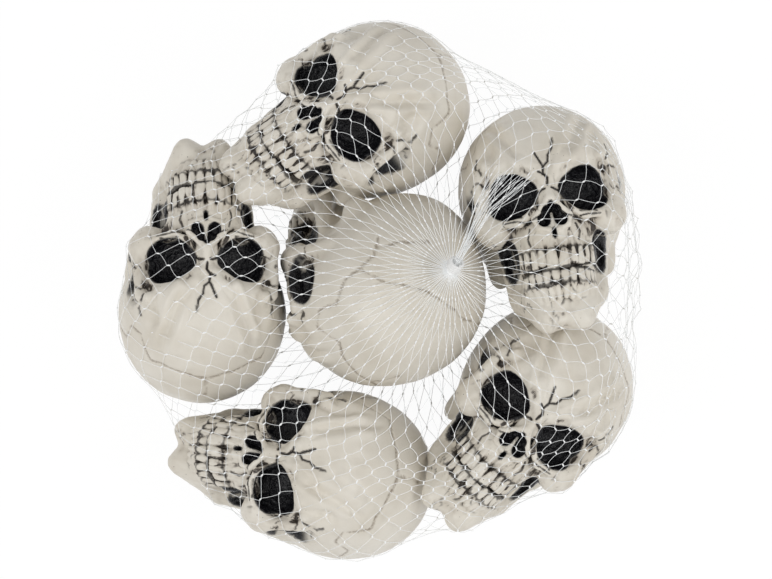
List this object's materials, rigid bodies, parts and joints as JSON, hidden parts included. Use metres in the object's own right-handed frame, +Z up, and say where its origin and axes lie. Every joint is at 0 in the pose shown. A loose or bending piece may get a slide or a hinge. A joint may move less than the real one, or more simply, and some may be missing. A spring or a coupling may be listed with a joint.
{
  "type": "bag of halloween skulls",
  "caption": "Hollow ivory skulls with blackened sockets, lying packed in a round white net bag that is tied at both ends.",
  "frame": {"origin": "under the middle of the bag, on the surface it lies on", "axes": "+Z up from the surface; +Y towards the side that is uppermost when the bag is seen from above"},
  "size_m": [0.2432, 0.2472, 0.1144],
  "materials": {
    "skull_shell": "ivory blow-moulded plastic, satin, with brown-black wash in the hollows",
    "net": "white translucent knotless netting",
    "tie": "white, smooth"
  },
  "bodies": {
    "root": {"skull_top": "skull_shell", "skull_left": "skull_shell", "skull_right": "skull_shell", "skull_low_right": "skull_shell", "skull_low_left": "skull_shell", "skull_middle": "skull_shell", "net_bag": "net", "top_tie": "tie", "bottom_tie": "tie"}
  },
  "joints": []
}
